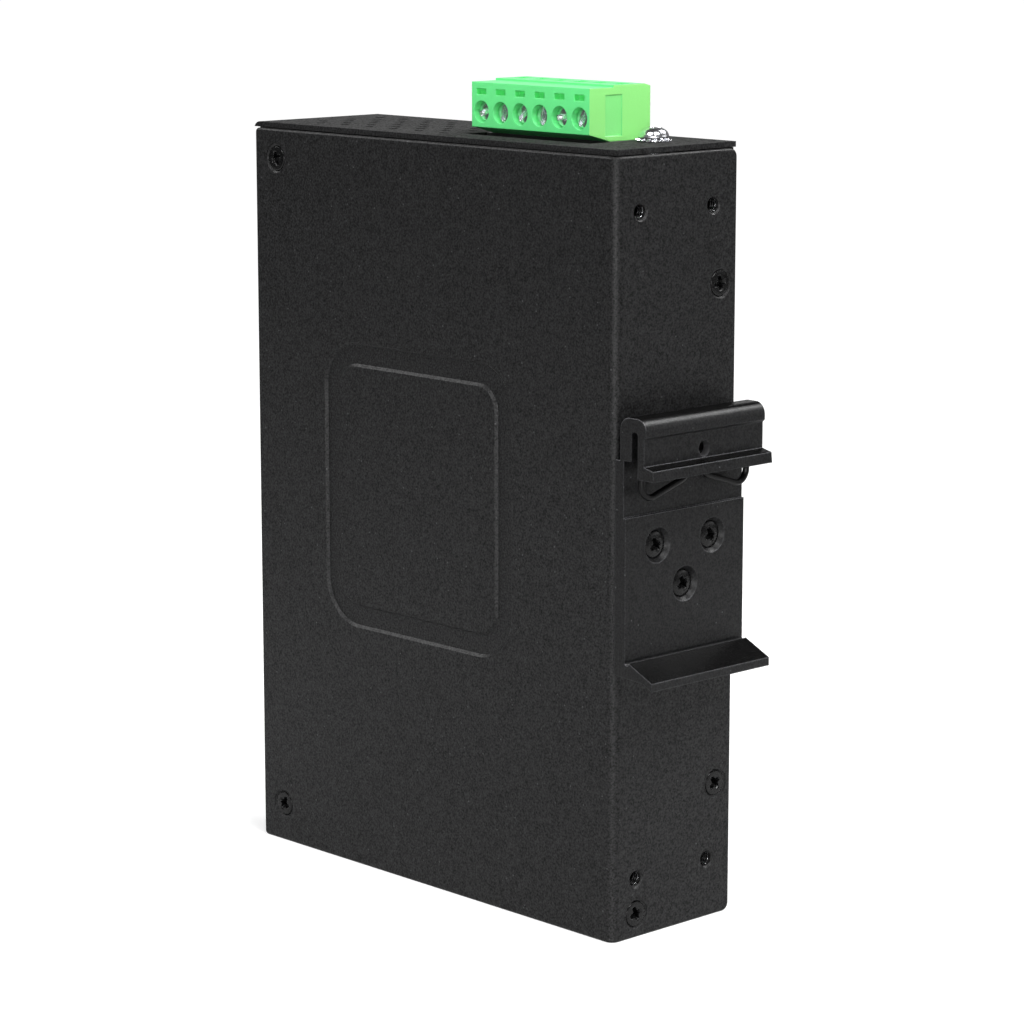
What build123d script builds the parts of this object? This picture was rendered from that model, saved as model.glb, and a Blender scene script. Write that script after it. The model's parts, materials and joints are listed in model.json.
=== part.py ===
from build123d import *
import math
import os

# A slim network switch with powered ports, for a 35 mm rail, in a folded steel case.
# Millimetres, +Z up, origin at the middle of the case's underside.
# The ports face -Y, the rail clip is on the +Y face and the screwed side cover faces +X.

# Case
case_width = 30.6
case_depth = 99.0
case_height = 142.0
sheet = 1.0
inner_bend = 0.8
seam_gap = 0.2
fold_gap = 0.1
top_plate_inset = 0.5
cover_setback = 0.9
flange_corner = 1.5
cover_corner = 0.8
edge_round = 0.5

# Countersunk M3 case screws
screw_diameter = 3.0
screw_head = 5.2
screw_sink = 0.1
screw_rim = 0.1
screw_length = 5.0
countersink = 5.5
cross_width = 2.9
cross_slot = 0.75
cross_depth = 0.7
side_screw_inset = 7.0
side_screw_low = 7.5
side_screw_drop = 6.8
front_return = 11.0
rear_screw_inset = 4.0
rear_screw_height = 25.0
foot_screw_inset = 6.2
foot_screw_height = 4.4
tab_width = 16.0
tab_overlap = 9.0
foot_tab_width = 8.0
foot_tab_height = 7.6

# Wall mounting holes and clinch nuts behind the rear face
wall_hole_x = 9.2
wall_hole_height = 10.95
thread_hole = 2.85
hole_chamfer = 0.3
nut_flange = 5.6
nut_height = 1.5

# Stiffening bead pressed into the side cover
bead_length = 52.0
bead_height = 55.0
bead_centre_y = -2.6
bead_centre_z = 74.5
bead_width = 4.6
bead_depth = 0.5
bead_corner = 9.0

# Top plate vents
vent_diameter = 2.0
vent_row_pitch = 3.6
vent_rows = 6
vent_pitch = 7.0
vent_first = 13.1
vent_columns = 7
vent_front_margin = 8.0
vent_rear_margin = 0.9

# Rail clip, an aluminium extrusion; depths are measured from the rear face
clip_side_margin = 0.15
clip_bottom = 49.7
clip_length = 46.3
clip_thick = 2.6
clip_thin = 2.1
rail_pocket = 36.0
pocket_rise = 2.6
step_rise = 25.8
clip_relief = 1.2
roll_depth = 7.5
roll_radius = 2.2
roll_height = 3.1
roll_step = 0.5
hook_leg = 1.55
hook_leg_length = 10.7
hook_lip_reach = 9.2
hook_lip_lean = 0.2
hook_lip_rise = 2.4
spring_slot = 1.5
lower_lip_reach = 9.3
lower_lip_drop = 2.7
lower_lip_edge = 1.5
lower_lip_under = 7.1
groove_radius = 0.5
clip_hole = 2.8
clip_hole_drop = 6.6

# Rail clip screws
clip_screw_offset = 7.0
clip_screw_upper = 22.6
clip_screw_lower = 14.7
clip_sink_mouth = 6.4
clip_sink_depth = 2.2
clip_head = 5.1
clip_head_sink = 0.7
clip_screw_length = 5.6

# Rail clip wire spring; drops are measured from the top of the clip
wire = 1.2
spring_side_inset = 1.8
spring_end_drop = 3.4
spring_loop_drop = 15.2
spring_loop_radius = 2.3
spring_knee_x = 2.7
spring_knee_drop = 11.9
spring_knee_radius = 2.0
spring_peak_drop = 7.3
spring_peak_radius = 1.1

# Six pole plug and header on the top
poles = 6
pole_pitch = 5.08
plug_inset = 30.3
plug_screw_face = 6.95
plug_back_face = -8.35
plug_height = 9.5
plug_face_bottom = 1.35
plug_rib_height = 0.4
plug_rib_front = 1.0
plug_rib_back = -6.9
plug_back_bottom = 2.0
socket_front = 1.75
socket_back = -5.5
socket_depth = 8.0
socket_end_inset = 0.3
header_wall = 0.65
header_floor = 2.6
header_gap = 0.1
header_end_wall = 0.7
opening_margin = 0.35
opening_front_x = 7.8
opening_back_x = -8.9
screw_bore = 3.95
screw_bore_height = 4.15
test_slot_width = 2.55
test_slot_height = 1.1
test_slot_centre = 7.8
test_slot_depth = 1.2
wire_entry_length = 3.3
wire_entry_width = 3.6
wire_entry_centre = -3.2
clamp_screw_head = 3.7
clamp_screw_sink = 1.1
clamp_screw_head_height = 2.4
clamp_screw_shank = 2.5
clamp_width = 3.9
clamp_length = 5.6
clamp_height = 4.6
clamp_wall = 0.8
clamp_slot_width = 0.8
clamp_slot_depth = 0.8
pin_size = 1.0
pin_reach = 5.6
pin_gap = 0.3
end_panel_depth = 0.12
end_panel_back = -1.2
end_panel_front = 3.0
end_panel_margin = 1.3

# Earth screw with its toothed washer
earth_x = -4.0
earth_inset = 9.9
earth_head = 5.5
earth_head_height = 2.1
earth_head_round = 0.95
earth_length = 6.0
washer_outer = 6.4
washer_inner = 3.2
washer_thickness = 0.5
washer_teeth = 12
washer_tooth_depth = 0.8

# Circuit board
board = 1.6
board_front_gap = 3.0
board_rear_gap = 7.0
board_bottom = 5.0
board_top_gap = 3.0
board_corner_inset = 4.0
standoff_across = 5.0
board_screw_head = 5.5
board_screw_head_height = 1.8
board_screw_head_round = 0.7

# Port jacks
ports = 5
jack_spacing = 2.5
top_port_drop = 42.0
jack_width = 16.0
jack_roof = 0.1
jack_depth = 18.0
jack_proud = 0.3
shield = 0.3
port_width = 11.8
port_height = 6.9
port_depth = 12.5
port_base = 3.0
latch_width = 6.2
latch_height = 2.0
latch_tip_width = 3.4
latch_tip_height = 1.2
contact_count = 8
contact_pitch = 1.02
contact_width = 0.45
contact_thickness = 0.35
contact_inset = 2.5
contact_rise = 2.1
led_window_width = 2.6
led_window_height = 1.6
led_window_depth = 1.2
port_gap = 0.2

# Front overlay and status lamps
label_thickness = 0.25
label_margin = 3.0
status_leds = 3
status_led_pitch = 6.0
status_led_gap = 9.0
status_led_diameter = 3.0
status_led_round = 0.9
status_led_length = 7.0
status_led_lift = 3.4
led_holder_depth = 4.0

# Parts on the board
transformer_width = 12.0
transformer_length = 9.0
transformer_height = 5.6
transformer_bevel = 0.5
transformer_behind_jack = 3.0
chip_behind_transformer = 16.8
switch_chip_size = 14.0
switch_chip_height = 1.2
thermal_pad_thickness = 0.5
sink_size = 20.0
sink_base = 1.5
sink_height = 8.0
sink_fins = 7
sink_fin = 1.0
power_core_length = 20.0
power_core_height = 16.0
power_core_width = 12.0
power_core_leg = 4.0
winding_clearance = 0.4
inductor_size = 12.0
inductor_height = 7.0
inductor_corner = 1.6
capacitor_diameter = 10.0
capacitor_height = 16.0
capacitor_round = 0.5
arrester_diameter = 8.0
arrester_height = 6.0

# Plain packages on the board: length in Y, width in Z, height
poe_controller_size = (8.0, 8.0, 1.0)
flash_size = (5.0, 6.0, 1.7)
crystal_size = (11.0, 4.5, 3.5)
fuse_size = (10.0, 3.2, 3.0)
transistor_size = (6.0, 5.0, 1.1)
ceramic_size = (3.2, 1.6, 1.2)

# Places of the packages, as steps in Y and Z from the middle of the switch chip
poe_controller_step = (0.0, 25.0)
flash_step = (17.0, -17.0)
crystal_step = (6.0, -17.0)
power_core_step = (27.0, 33.0)
inductor_1_step = (27.0, 3.0)
inductor_2_step = (27.0, -13.0)
capacitor_1_step = (25.0, -29.0)
capacitor_2_step = (25.0, -42.0)
fuse_step = (27.0, 56.0)
arrester_step = (12.0, 56.0)
transistor_step = (13.0, 17.0)
transistors = 4
transistor_pitch = 8.0
ceramic_step = (-5.0, -11.5)
ceramic_columns = 5
ceramic_column_pitch = 5.5
ceramic_rows = 2
ceramic_row_pitch = 15.5

# Places worked out from the sizes above
left = -case_width / 2
right = case_width / 2
front = -case_depth / 2
rear = case_depth / 2
wall_inside = left + sheet
cover_inside = right - sheet
bend_radius = inner_bend + sheet
plate_top = case_height
plate_under = case_height - sheet
plate_rear = rear - top_plate_inset
cover_top = plate_under - seam_gap
rear_inside = rear - sheet
tab_face = rear_inside - fold_gap
return_side = cover_inside - fold_gap
side_screw_y = front + side_screw_inset
side_screw_heights = (side_screw_low, case_height - side_screw_drop)
rear_screw_x = left + rear_screw_inset
rear_screw_heights = (rear_screw_height, case_height - rear_screw_height)
foot_screw_x = right - foot_screw_inset
wall_hole_heights = (wall_hole_height, case_height - wall_hole_height)
clip_half = case_width / 2 - clip_side_margin
clip_top = clip_bottom + clip_length
pocket_low = clip_bottom + pocket_rise
clip_shoulder = pocket_low + rail_pocket
plug_centre_y = rear - plug_inset
earth_y = rear - earth_inset
header_front = socket_front + header_gap + header_wall
header_back = socket_back - header_gap - header_wall
board_face = header_back
board_back = board_face - board
standoff_length = board_back - wall_inside
board_front = front + board_front_gap
board_rear = rear_inside - board_rear_gap
board_top = plate_under - board_top_gap
plug_half = poles * pole_pitch / 2
opening_half = plug_half + opening_margin + header_end_wall
pole_places = [plug_centre_y + (i - (poles - 1) / 2) * pole_pitch for i in range(poles)]
port_pitch = jack_width + jack_spacing
port_places = [case_height - top_port_drop - (ports - 1 - i) * port_pitch for i in range(ports)]
jack_height = port_base + port_height + latch_height + latch_tip_height + jack_roof + shield
jack_front = front - jack_proud
jack_rear = jack_front + jack_depth
jack_middle = board_face + jack_height / 2
status_led_height = port_places[-1] + jack_width / 2 + status_led_gap
clip_screw_places = [
    (-clip_screw_offset, clip_bottom + clip_screw_upper),
    (clip_screw_offset, clip_bottom + clip_screw_upper),
    (0.0, clip_bottom + clip_screw_lower),
]
transformer_y = jack_rear + transformer_behind_jack + transformer_length / 2
transformer_rear = transformer_y + transformer_length / 2
chip_y = transformer_rear + chip_behind_transformer
chip_z = port_places[ports // 2]
sink_bottom = board_face + switch_chip_height + thermal_pad_thickness
core_y = chip_y + power_core_step[0]
core_z = chip_z + power_core_step[1]
far = 400.0


# Shared shapes
def block(x0, x1, y0, y1, z0, z1):
    """A box given by its lowest and highest corners."""
    middle = Pos((x0 + x1) / 2, (y0 + y1) / 2, (z0 + z1) / 2)
    return middle * Box(x1 - x0, y1 - y0, z1 - z0)


def turned_x(radius, x0, x1, y, z):
    """A round bar along X."""
    return Pos((x0 + x1) / 2, y, z) * Rot(0, 90, 0) * Cylinder(radius, x1 - x0)


def turned_y(radius, y0, y1, x, z):
    """A round bar along Y."""
    return Pos(x, (y0 + y1) / 2, z) * Rot(90, 0, 0) * Cylinder(radius, y1 - y0)


def turned_z(radius, z0, z1, x, y):
    """A round bar along Z."""
    return Pos(x, y, (z0 + z1) / 2) * Cylinder(radius, z1 - z0)


def cross_recess(width, slot, depth):
    """A cross recess sunk below z = 0, to be cut from a screw's head."""
    arm = Box(width, slot, 2 * depth)
    return arm + Rot(0, 0, 90) * arm


def flat_head_screw(head, sink, cone_depth, length):
    """A flat head screw along -Z, with the outer face of what it holds at z = 0."""
    head_radius = head / 2
    shank_radius = screw_diameter / 2
    outline = Polyline(
        (0, -sink),
        (head_radius, -sink),
        (head_radius, -sink - screw_rim),
        (shank_radius, -cone_depth),
        (shank_radius, -length),
        (0, -length),
        close=True,
    )
    body = revolve(make_face(Plane.XZ * outline), Axis.Z)
    return body - Pos(0, 0, -sink) * cross_recess(cross_width, cross_slot, cross_depth)


def countersunk_screw():
    """One of the case's screws, with the sheet's outer face at z = 0."""
    return flat_head_screw(screw_head, screw_sink, sheet, screw_length)


def countersink_cut():
    """The hole in a sheet for a flat head screw, with the outer face at z = 0."""
    wide = countersink / 2
    narrow = screw_diameter / 2
    outline = Polyline(
        (0, sheet),
        (wide, sheet),
        (wide, 0),
        (wide, rim_depth()),
        (narrow, -sheet),
        (narrow, -2 * sheet),
        (0, -2 * sheet),
        close=True,
    )
    return revolve(make_face(Plane.XZ * outline), Axis.Z)


def rim_depth():
    """How deep the hole stays cylindrical: halfway to where its cone would touch the screw's."""
    head_radius = screw_head / 2
    slope = (head_radius - screw_diameter / 2) / (sheet - screw_sink - screw_rim)
    spare = (countersink - screw_head) / 2
    return -(screw_sink + screw_rim) + spare / slope / 2


def chamfer_cut(radius):
    """The bevel round a hole's mouth, with the outer face at z = 0."""
    return Pos(0, 0, -hole_chamfer / 2) * Cone(radius, radius + hole_chamfer, hole_chamfer)


def facing_right(x, y, z):
    """The place of a screw in the +X face."""
    return Pos(x, y, z) * Rot(0, 90, 0)


def facing_rear(x, y, z):
    """The place of a screw in the +Y face."""
    return Pos(x, y, z) * Rot(-90, 0, 0)


def save(name, shape):
    """Write one node."""
    export_step(shape, f"parts/{name}.step")


def group(solids):
    """Several separate solids in one node."""
    return Compound(children=list(solids))


# Main chassis: front, top, bottom and left wall in one folded sheet
def vent_places():
    """The middles of the top plate's staggered vents."""
    places = []
    for row in range(vent_rows):
        x = (row - (vent_rows - 1) / 2) * vent_row_pitch
        back_steps = vent_rows - 1 - row
        for column in range(-1, vent_columns + 2):
            y = front + vent_first + column * vent_pitch - back_steps * vent_pitch / 2
            if front + vent_front_margin < y < plug_centre_y - opening_half - vent_rear_margin:
                places.append((x, y))
    return places


def folded_box(x0, x1, y0, z0, z1, radius):
    """A box that runs far back, with round bends along its four front edges."""
    box = block(x0, x1, y0, far, z0, z1)
    return fillet(box.faces().sort_by(Axis.Y)[0].edges(), radius)


def main_chassis():
    shell = folded_box(left, return_side, front, 0, plate_top, bend_radius)
    shell -= folded_box(wall_inside, return_side - sheet, front + sheet, sheet, plate_under, inner_bend)
    shell -= block(-far, far, plate_rear, far, -far, far)
    shell -= block(return_side - sheet, far, front + front_return, far, sheet, plate_under)
    for low, high in ((sheet, sheet + fold_gap), (plate_under - fold_gap, plate_under)):
        shell -= block(-far, far, front + bend_radius, far, low, high)
    top_edge = right - top_plate_inset
    rim = block(return_side - sheet, top_edge, front, plate_rear, sheet, plate_top)
    rim = fillet(rim.edges().filter_by(Axis.X).group_by(Axis.Z)[-1].sort_by(Axis.Y)[0], bend_radius)
    shell += rim - block(-far, far, -far, far, -far, plate_under)
    shell -= block(-far, far, tab_face, far, -far, plate_under)
    for height in rear_screw_heights:
        shell += block(
            left, left + tab_overlap,
            tab_face - sheet, tab_face,
            height - tab_width / 2, height + tab_width / 2,
        )
    shell += block(
        foot_screw_x - foot_tab_width / 2, foot_screw_x + foot_tab_width / 2,
        tab_face - sheet, tab_face,
        0, foot_tab_height,
    )
    relief = inner_bend / 2
    shell -= block(return_side - relief, far, tab_face - relief, far, -far, sheet)
    for height in rear_screw_heights:
        shell -= turned_y(screw_diameter / 2, tab_face - 2 * sheet, rear, rear_screw_x, height)
    shell -= turned_y(screw_diameter / 2, tab_face - 2 * sheet, rear, foot_screw_x, foot_screw_height)
    for height in side_screw_heights:
        shell -= turned_x(screw_diameter / 2, return_side - 2 * sheet, far, side_screw_y, height)
    for height in port_places:
        shell -= port_window(front - sheet, front + 2 * sheet, height, port_gap)
    led_x = board_face + status_led_lift
    for height in status_led_places():
        shell -= turned_y(status_led_diameter / 2 + port_gap, front - sheet, front + 2 * sheet, led_x, height)
    shell -= block(
        opening_back_x, opening_front_x,
        plug_centre_y - opening_half, plug_centre_y + opening_half,
        plate_under - sheet, plate_top + sheet,
    )
    for x, y in vent_places():
        shell -= turned_z(vent_diameter / 2, plate_under - sheet, plate_top + sheet, x, y)
    shell -= turned_z(screw_diameter / 2, plate_under - sheet, plate_top + sheet, earth_x, earth_y)
    return shell


def port_window(y0, y1, height, margin):
    """The opening that one jack passes, between two depths."""
    half_x = jack_height / 2 + margin
    half_z = jack_width / 2 + margin
    return block(jack_middle - half_x, jack_middle + half_x, y0, y1, height - half_z, height + half_z)


def status_led_places():
    """The heights of the status lamps."""
    return [status_led_height + i * status_led_pitch for i in range(status_leds)]


# Side cover: side wall and rear face in one folded sheet
def bead(outside):
    """The stiffening bead's groove, sunk from the plane x = outside."""
    plane = Plane(origin=(outside, bead_centre_y, bead_centre_z), x_dir=(0, 1, 0), z_dir=(-1, 0, 0))
    ring_outer = RectangleRounded(bead_length, bead_height, bead_corner)
    ring_inner = RectangleRounded(
        bead_length - 2 * bead_width, bead_height - 2 * bead_width, bead_corner - bead_width
    )
    well = extrude(plane * ring_outer, bead_depth, taper=45)
    island = extrude(plane * ring_inner, bead_depth, taper=-45)
    return well - island


def rim_edges(solid):
    """The free edges round the cover's painted outside."""
    skin = [
        face for face in solid.faces()
        if face.center().X > right - bend_radius or face.center().Y > rear - bend_radius
    ]
    edges = [edge for face in skin for edge in face.edges()]
    return [edge for edge in edges if sum(edge.is_same(other) for other in edges) == 1]


def side_cover():
    outer = block(left, right, front + cover_setback, rear, 0, cover_top)
    corner = outer.edges().filter_by(Axis.Z).sort_by(Axis.X)[-2:].sort_by(Axis.Y)[-1]
    outer = fillet(corner, bend_radius)
    outer = fillet(outer.edges().filter_by(Axis.Y).sort_by(Axis.X)[:2], flange_corner)
    outer = fillet(outer.edges().filter_by(Axis.X).sort_by(Axis.Y)[:2], cover_corner)
    outer = fillet(rim_edges(outer), edge_round)
    inner = block(-far, cover_inside, -far, rear_inside, -far, far)
    corner = inner.edges().filter_by(Axis.Z).sort_by(Axis.X)[-2:].sort_by(Axis.Y)[-1]
    inner = fillet(corner, inner_bend)
    cover = outer - inner
    cover -= bead(right)
    cover += bead(cover_inside)
    for height in side_screw_heights:
        cover -= facing_right(right, side_screw_y, height) * countersink_cut()
    for height in rear_screw_heights:
        cover -= facing_rear(rear_screw_x, rear, height) * countersink_cut()
    cover -= facing_rear(foot_screw_x, rear, foot_screw_height) * countersink_cut()
    for x, z in wall_hole_places():
        cover -= turned_y(thread_hole / 2, rear_inside - sheet, rear + sheet, x, z)
        cover -= facing_rear(x, rear, z) * chamfer_cut(thread_hole / 2)
    for x, z in clip_screw_places:
        cover -= turned_y(screw_diameter / 2, rear_inside - sheet, rear + sheet, x, z)
    return cover


def wall_hole_places():
    """The four tapped holes of the rear face."""
    return [(x, z) for z in wall_hole_heights for x in (-wall_hole_x, wall_hole_x)]


# Front overlay and the case screws
def front_label():
    """A blank film on the front, with openings for the ports and the lamps."""
    half = return_side - bend_radius - fold_gap
    label = block(-half, half, front - label_thickness, front, label_margin, plate_under - label_margin)
    label = fillet(label.edges().filter_by(Axis.Y), flange_corner)
    for height in port_places:
        label -= port_window(front - sheet, front + sheet, height, 2 * port_gap)
    led_x = board_face + status_led_lift
    for height in status_led_places():
        label -= turned_y(status_led_diameter / 2 + 2 * port_gap, front - sheet, front + sheet, led_x, height)
    return label


def side_screws():
    return group(facing_right(right, side_screw_y, height) * countersunk_screw() for height in side_screw_heights)


def rear_screws():
    screws = [facing_rear(rear_screw_x, rear, height) * countersunk_screw() for height in rear_screw_heights]
    screws.append(facing_rear(foot_screw_x, rear, foot_screw_height) * countersunk_screw())
    return group(screws)


# Clinch nuts pressed into the rear face
def clinch_nut(x, z, bore):
    nut = turned_y(nut_flange / 2, rear_inside - nut_height, rear_inside, x, z)
    return nut - turned_y(bore / 2, rear_inside - 2 * nut_height, rear, x, z)


def wall_mount_nuts():
    return group(clinch_nut(x, z, thread_hole) for x, z in wall_hole_places())


def rail_clip_nuts():
    return group(clinch_nut(x, z, screw_diameter) for x, z in clip_screw_places)


# Rail clip extrusion
def clip_outline():
    """The clip's section in the YZ plane."""
    slot_out = roll_depth - roll_step - hook_leg
    slot_in = slot_out - spring_slot
    slot_radius = spring_slot / 2
    roll_low = clip_top - roll_height
    leg_face = roll_depth - roll_step
    leg_low = clip_top - hook_leg_length
    lip_top = leg_low + hook_lip_rise
    lip_reach = hook_lip_reach + hook_lip_lean
    step_height = pocket_low + step_rise
    lower_lip_top = pocket_low - lower_lip_drop
    lip_low = lower_lip_top - lower_lip_edge

    def p(y, z):
        return (0, rear + y, z)

    back_top = clip_top - roll_radius
    turn = math.sqrt(0.5)
    pieces = [
        Line(p(0, clip_bottom), p(0, clip_shoulder)),
        Line(p(0, clip_shoulder), p(clip_relief, clip_shoulder)),
        Line(p(clip_relief, clip_shoulder), p(clip_relief, back_top)),
        ThreePointArc(
            p(clip_relief, back_top),
            p(clip_relief + roll_radius * (1 - turn), back_top + roll_radius * turn),
            p(clip_relief + roll_radius, clip_top),
        ),
        Line(p(clip_relief + roll_radius, clip_top), p(roll_depth - roll_radius, clip_top)),
        ThreePointArc(
            p(roll_depth - roll_radius, clip_top),
            p(roll_depth - roll_radius * (1 - turn), back_top + roll_radius * turn),
            p(roll_depth, back_top),
        ),
        Line(p(roll_depth, back_top), p(roll_depth, roll_low)),
        Line(p(roll_depth, roll_low), p(leg_face, roll_low - roll_step)),
        Line(p(leg_face, roll_low - roll_step), p(leg_face, lip_top)),
        Line(p(leg_face, lip_top), p(hook_lip_reach, lip_top - roll_step)),
        Line(p(hook_lip_reach, lip_top - roll_step), p(lip_reach, leg_low)),
        Line(p(lip_reach, leg_low), p(slot_out, leg_low)),
        Line(p(slot_out, leg_low), p(slot_out, roll_low)),
        ThreePointArc(
            p(slot_out, roll_low),
            p(slot_out - slot_radius, roll_low + slot_radius),
            p(slot_in, roll_low),
        ),
        Line(p(slot_in, roll_low), p(slot_in, clip_shoulder)),
        Line(p(slot_in, clip_shoulder), p(clip_thin, clip_shoulder)),
        Line(p(clip_thin, clip_shoulder), p(clip_thin, step_height)),
        Line(p(clip_thin, step_height), p(clip_thick, step_height)),
        Line(p(clip_thick, step_height), p(clip_thick, pocket_low)),
        ThreePointArc(
            p(clip_thick, pocket_low),
            p(clip_thick + groove_radius, pocket_low - groove_radius),
            p(clip_thick + 2 * groove_radius, pocket_low),
        ),
        Line(
            p(clip_thick + 2 * groove_radius, pocket_low),
            p(lower_lip_reach, lower_lip_top),
        ),
        Line(p(lower_lip_reach, lower_lip_top), p(lower_lip_reach, lip_low)),
        Line(p(lower_lip_reach, lip_low), p(lower_lip_under, clip_bottom - roll_step)),
        Line(p(lower_lip_under, clip_bottom - roll_step), p(0, clip_bottom)),
    ]
    return Wire(pieces)


def rail_clip():
    section = Face(clip_outline())
    clip = extrude(Pos(-clip_half, 0, 0) * section, 2 * clip_half, dir=(1, 0, 0))
    face = rear + clip_thick
    for x, z in clip_screw_places:
        clip -= facing_rear(x, face, z) * clip_countersink()
    hole_back = rear + roll_depth - roll_step - hook_leg - sheet
    clip -= turned_y(clip_hole / 2, hole_back, far, 0, clip_top - clip_hole_drop)
    return clip


def clip_countersink():
    """The deep countersunk hole for one clip screw, with the clip's face at z = 0."""
    narrow = screw_diameter / 2
    wide = clip_sink_mouth / 2
    cone = Pos(0, 0, -clip_sink_depth / 2) * Cone(narrow, wide, clip_sink_depth)
    return cone + Cylinder(narrow, 3 * clip_thick)


def rail_clip_screws():
    face = rear + clip_thick
    screw = flat_head_screw(clip_head, clip_head_sink, clip_sink_depth, clip_screw_length)
    return group(facing_rear(x, face, z) * screw for x, z in clip_screw_places)


def rail_clip_spring():
    """One wire bent into two loops, with its ends up in the clip's slot."""
    y = rear + roll_depth - roll_step - hook_leg - spring_slot / 2
    end_x = clip_half - spring_side_inset
    half = [
        (end_x, clip_top - spring_end_drop),
        (end_x, clip_top - spring_loop_drop),
        (spring_knee_x, clip_top - spring_knee_drop),
    ]
    corners = half + [(0, clip_top - spring_peak_drop)] + [(-x, z) for x, z in reversed(half)]
    radii = [
        spring_loop_radius, spring_knee_radius, spring_peak_radius,
        spring_knee_radius, spring_loop_radius,
    ]
    path = FilletPolyline(*[(x, y, z) for x, z in corners], radius=radii)
    start = Plane(origin=(end_x, y, clip_top - spring_end_drop), z_dir=(0, 0, -1))
    return sweep(start * Circle(wire / 2), path)


# Six pole plug, its header and its clamps
def plug_profile():
    """The plug's section above the plate, in the XZ plane."""
    top = plate_top + plug_height
    return [
        (socket_front, plate_top),
        (plug_screw_face, plate_top + plug_face_bottom),
        (plug_screw_face, top),
        (plug_rib_front, top),
        (plug_rib_front, top + plug_rib_height),
        (plug_rib_back, top + plug_rib_height),
        (plug_back_face, top),
        (plug_back_face, plate_top + plug_back_bottom),
        (socket_back, plate_top),
    ]


def terminal_plug():
    y0 = plug_centre_y - plug_half
    y1 = plug_centre_y + plug_half
    top = plate_top + plug_height
    outline = Polyline(*[(x, y0, z) for x, z in plug_profile()], close=True)
    plug = extrude(make_face(outline), y1 - y0, dir=(0, 1, 0))
    socket_low = plate_top - socket_depth
    plug += block(
        socket_back, socket_front,
        y0 + socket_end_inset, y1 - socket_end_inset,
        socket_low, plate_top,
    )
    bore_z = plate_top + screw_bore_height
    slot_z = plate_top + test_slot_centre
    clamp_x0, clamp_x1, clamp_z0, clamp_z1 = clamp_space()
    for y in pole_places:
        plug -= turned_x(screw_bore / 2, clamp_x1, far, y, bore_z)
        plug -= block(
            plug_screw_face - test_slot_depth, far,
            y - test_slot_width / 2, y + test_slot_width / 2,
            slot_z - test_slot_height / 2, slot_z + test_slot_height / 2,
        )
        plug -= block(
            clamp_x0, clamp_x1, y - clamp_width / 2, y + clamp_width / 2, clamp_z0, clamp_z1,
        )
        plug -= block(
            wire_entry_centre - wire_entry_width / 2, wire_entry_centre + wire_entry_width / 2,
            y - wire_entry_length / 2, y + wire_entry_length / 2,
            clamp_z1, top + 2 * plug_rib_height,
        )
        plug -= block(
            pin_centre_x() - pin_size / 2 - pin_gap, pin_centre_x() + pin_size / 2 + pin_gap,
            y - pin_size / 2 - pin_gap, y + pin_size / 2 + pin_gap,
            socket_low - sheet, clamp_z0,
        )
    panel_low = plate_top + 2 * end_panel_depth + plug_face_bottom / 2
    for y, side in ((y0, -1), (y1, 1)):
        inner = y - side * end_panel_depth
        low, high = sorted((inner, y + side * sheet))
        plug -= block(end_panel_back, end_panel_front, low, high, panel_low, top - end_panel_margin)
    return plug


def clamp_space():
    """The chamber that holds a wire clamp: its X and Z limits."""
    x1 = plug_screw_face - clamp_screw_sink - clamp_screw_head_height
    x0 = x1 - clamp_length - 2 * clamp_wall
    z0 = plate_top + screw_bore_height - clamp_height / 2
    z1 = plate_top + screw_bore_height + clamp_height / 2
    return x0, x1, z0, z1


def pin_centre_x():
    """Where the header's pins stand, in the middle of the socket."""
    return (socket_front + socket_back) / 2


def clamp_screws():
    x1 = plug_screw_face - clamp_screw_sink
    x0 = x1 - clamp_screw_head_height
    z = plate_top + screw_bore_height
    tip = x0 - clamp_wall - clamp_length / 3
    screws = []
    for y in pole_places:
        head = turned_x(clamp_screw_head / 2, x0, x1, y, z)
        shank = turned_x(clamp_screw_shank / 2, tip, x0, y, z)
        slot = Box(2 * clamp_screw_head, clamp_slot_width, 2 * clamp_slot_depth)
        screws.append(head + shank - facing_right(x1, y, z) * slot)
    return group(screws)


def wire_clamps():
    x0, x1, z0, z1 = clamp_space()
    z = plate_top + screw_bore_height
    clamps = []
    for y in pole_places:
        cage = block(x0, x1, y - clamp_width / 2, y + clamp_width / 2, z0, z1)
        cage -= block(
            x0 + clamp_wall, x1 - clamp_wall,
            y - clamp_width / 2 + clamp_wall, y + clamp_width / 2 - clamp_wall,
            z0 - sheet, z1 + sheet,
        )
        cage -= turned_x(clamp_screw_shank / 2, x0 + clamp_wall, x1 + sheet, y, z)
        clamps.append(cage)
    return group(clamps)


def terminal_header():
    y0 = plug_centre_y - plug_half - header_end_wall
    y1 = plug_centre_y + plug_half + header_end_wall
    low = plate_top - socket_depth - header_floor
    body = block(header_back, header_front, y0, y1, low, plate_top)
    body -= block(
        socket_back - header_gap, socket_front + header_gap,
        plug_centre_y - plug_half, plug_centre_y + plug_half,
        plate_top - socket_depth, far,
    )
    for y in pole_places:
        body -= pin_blank(y)
    return body


def pin_blank(y):
    """One square pin: up out of the header's floor and back through the board."""
    x = pin_centre_x()
    half = pin_size / 2
    bend = plate_top - socket_depth - header_floor / 2
    upright = block(x - half, x + half, y - half, y + half, bend - half, plate_top - socket_depth + pin_reach)
    tail = block(board_back - 2 * pin_size, x + half, y - half, y + half, bend - half, bend + half)
    return upright + tail


def header_pins():
    return group(pin_blank(y) for y in pole_places)


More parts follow.
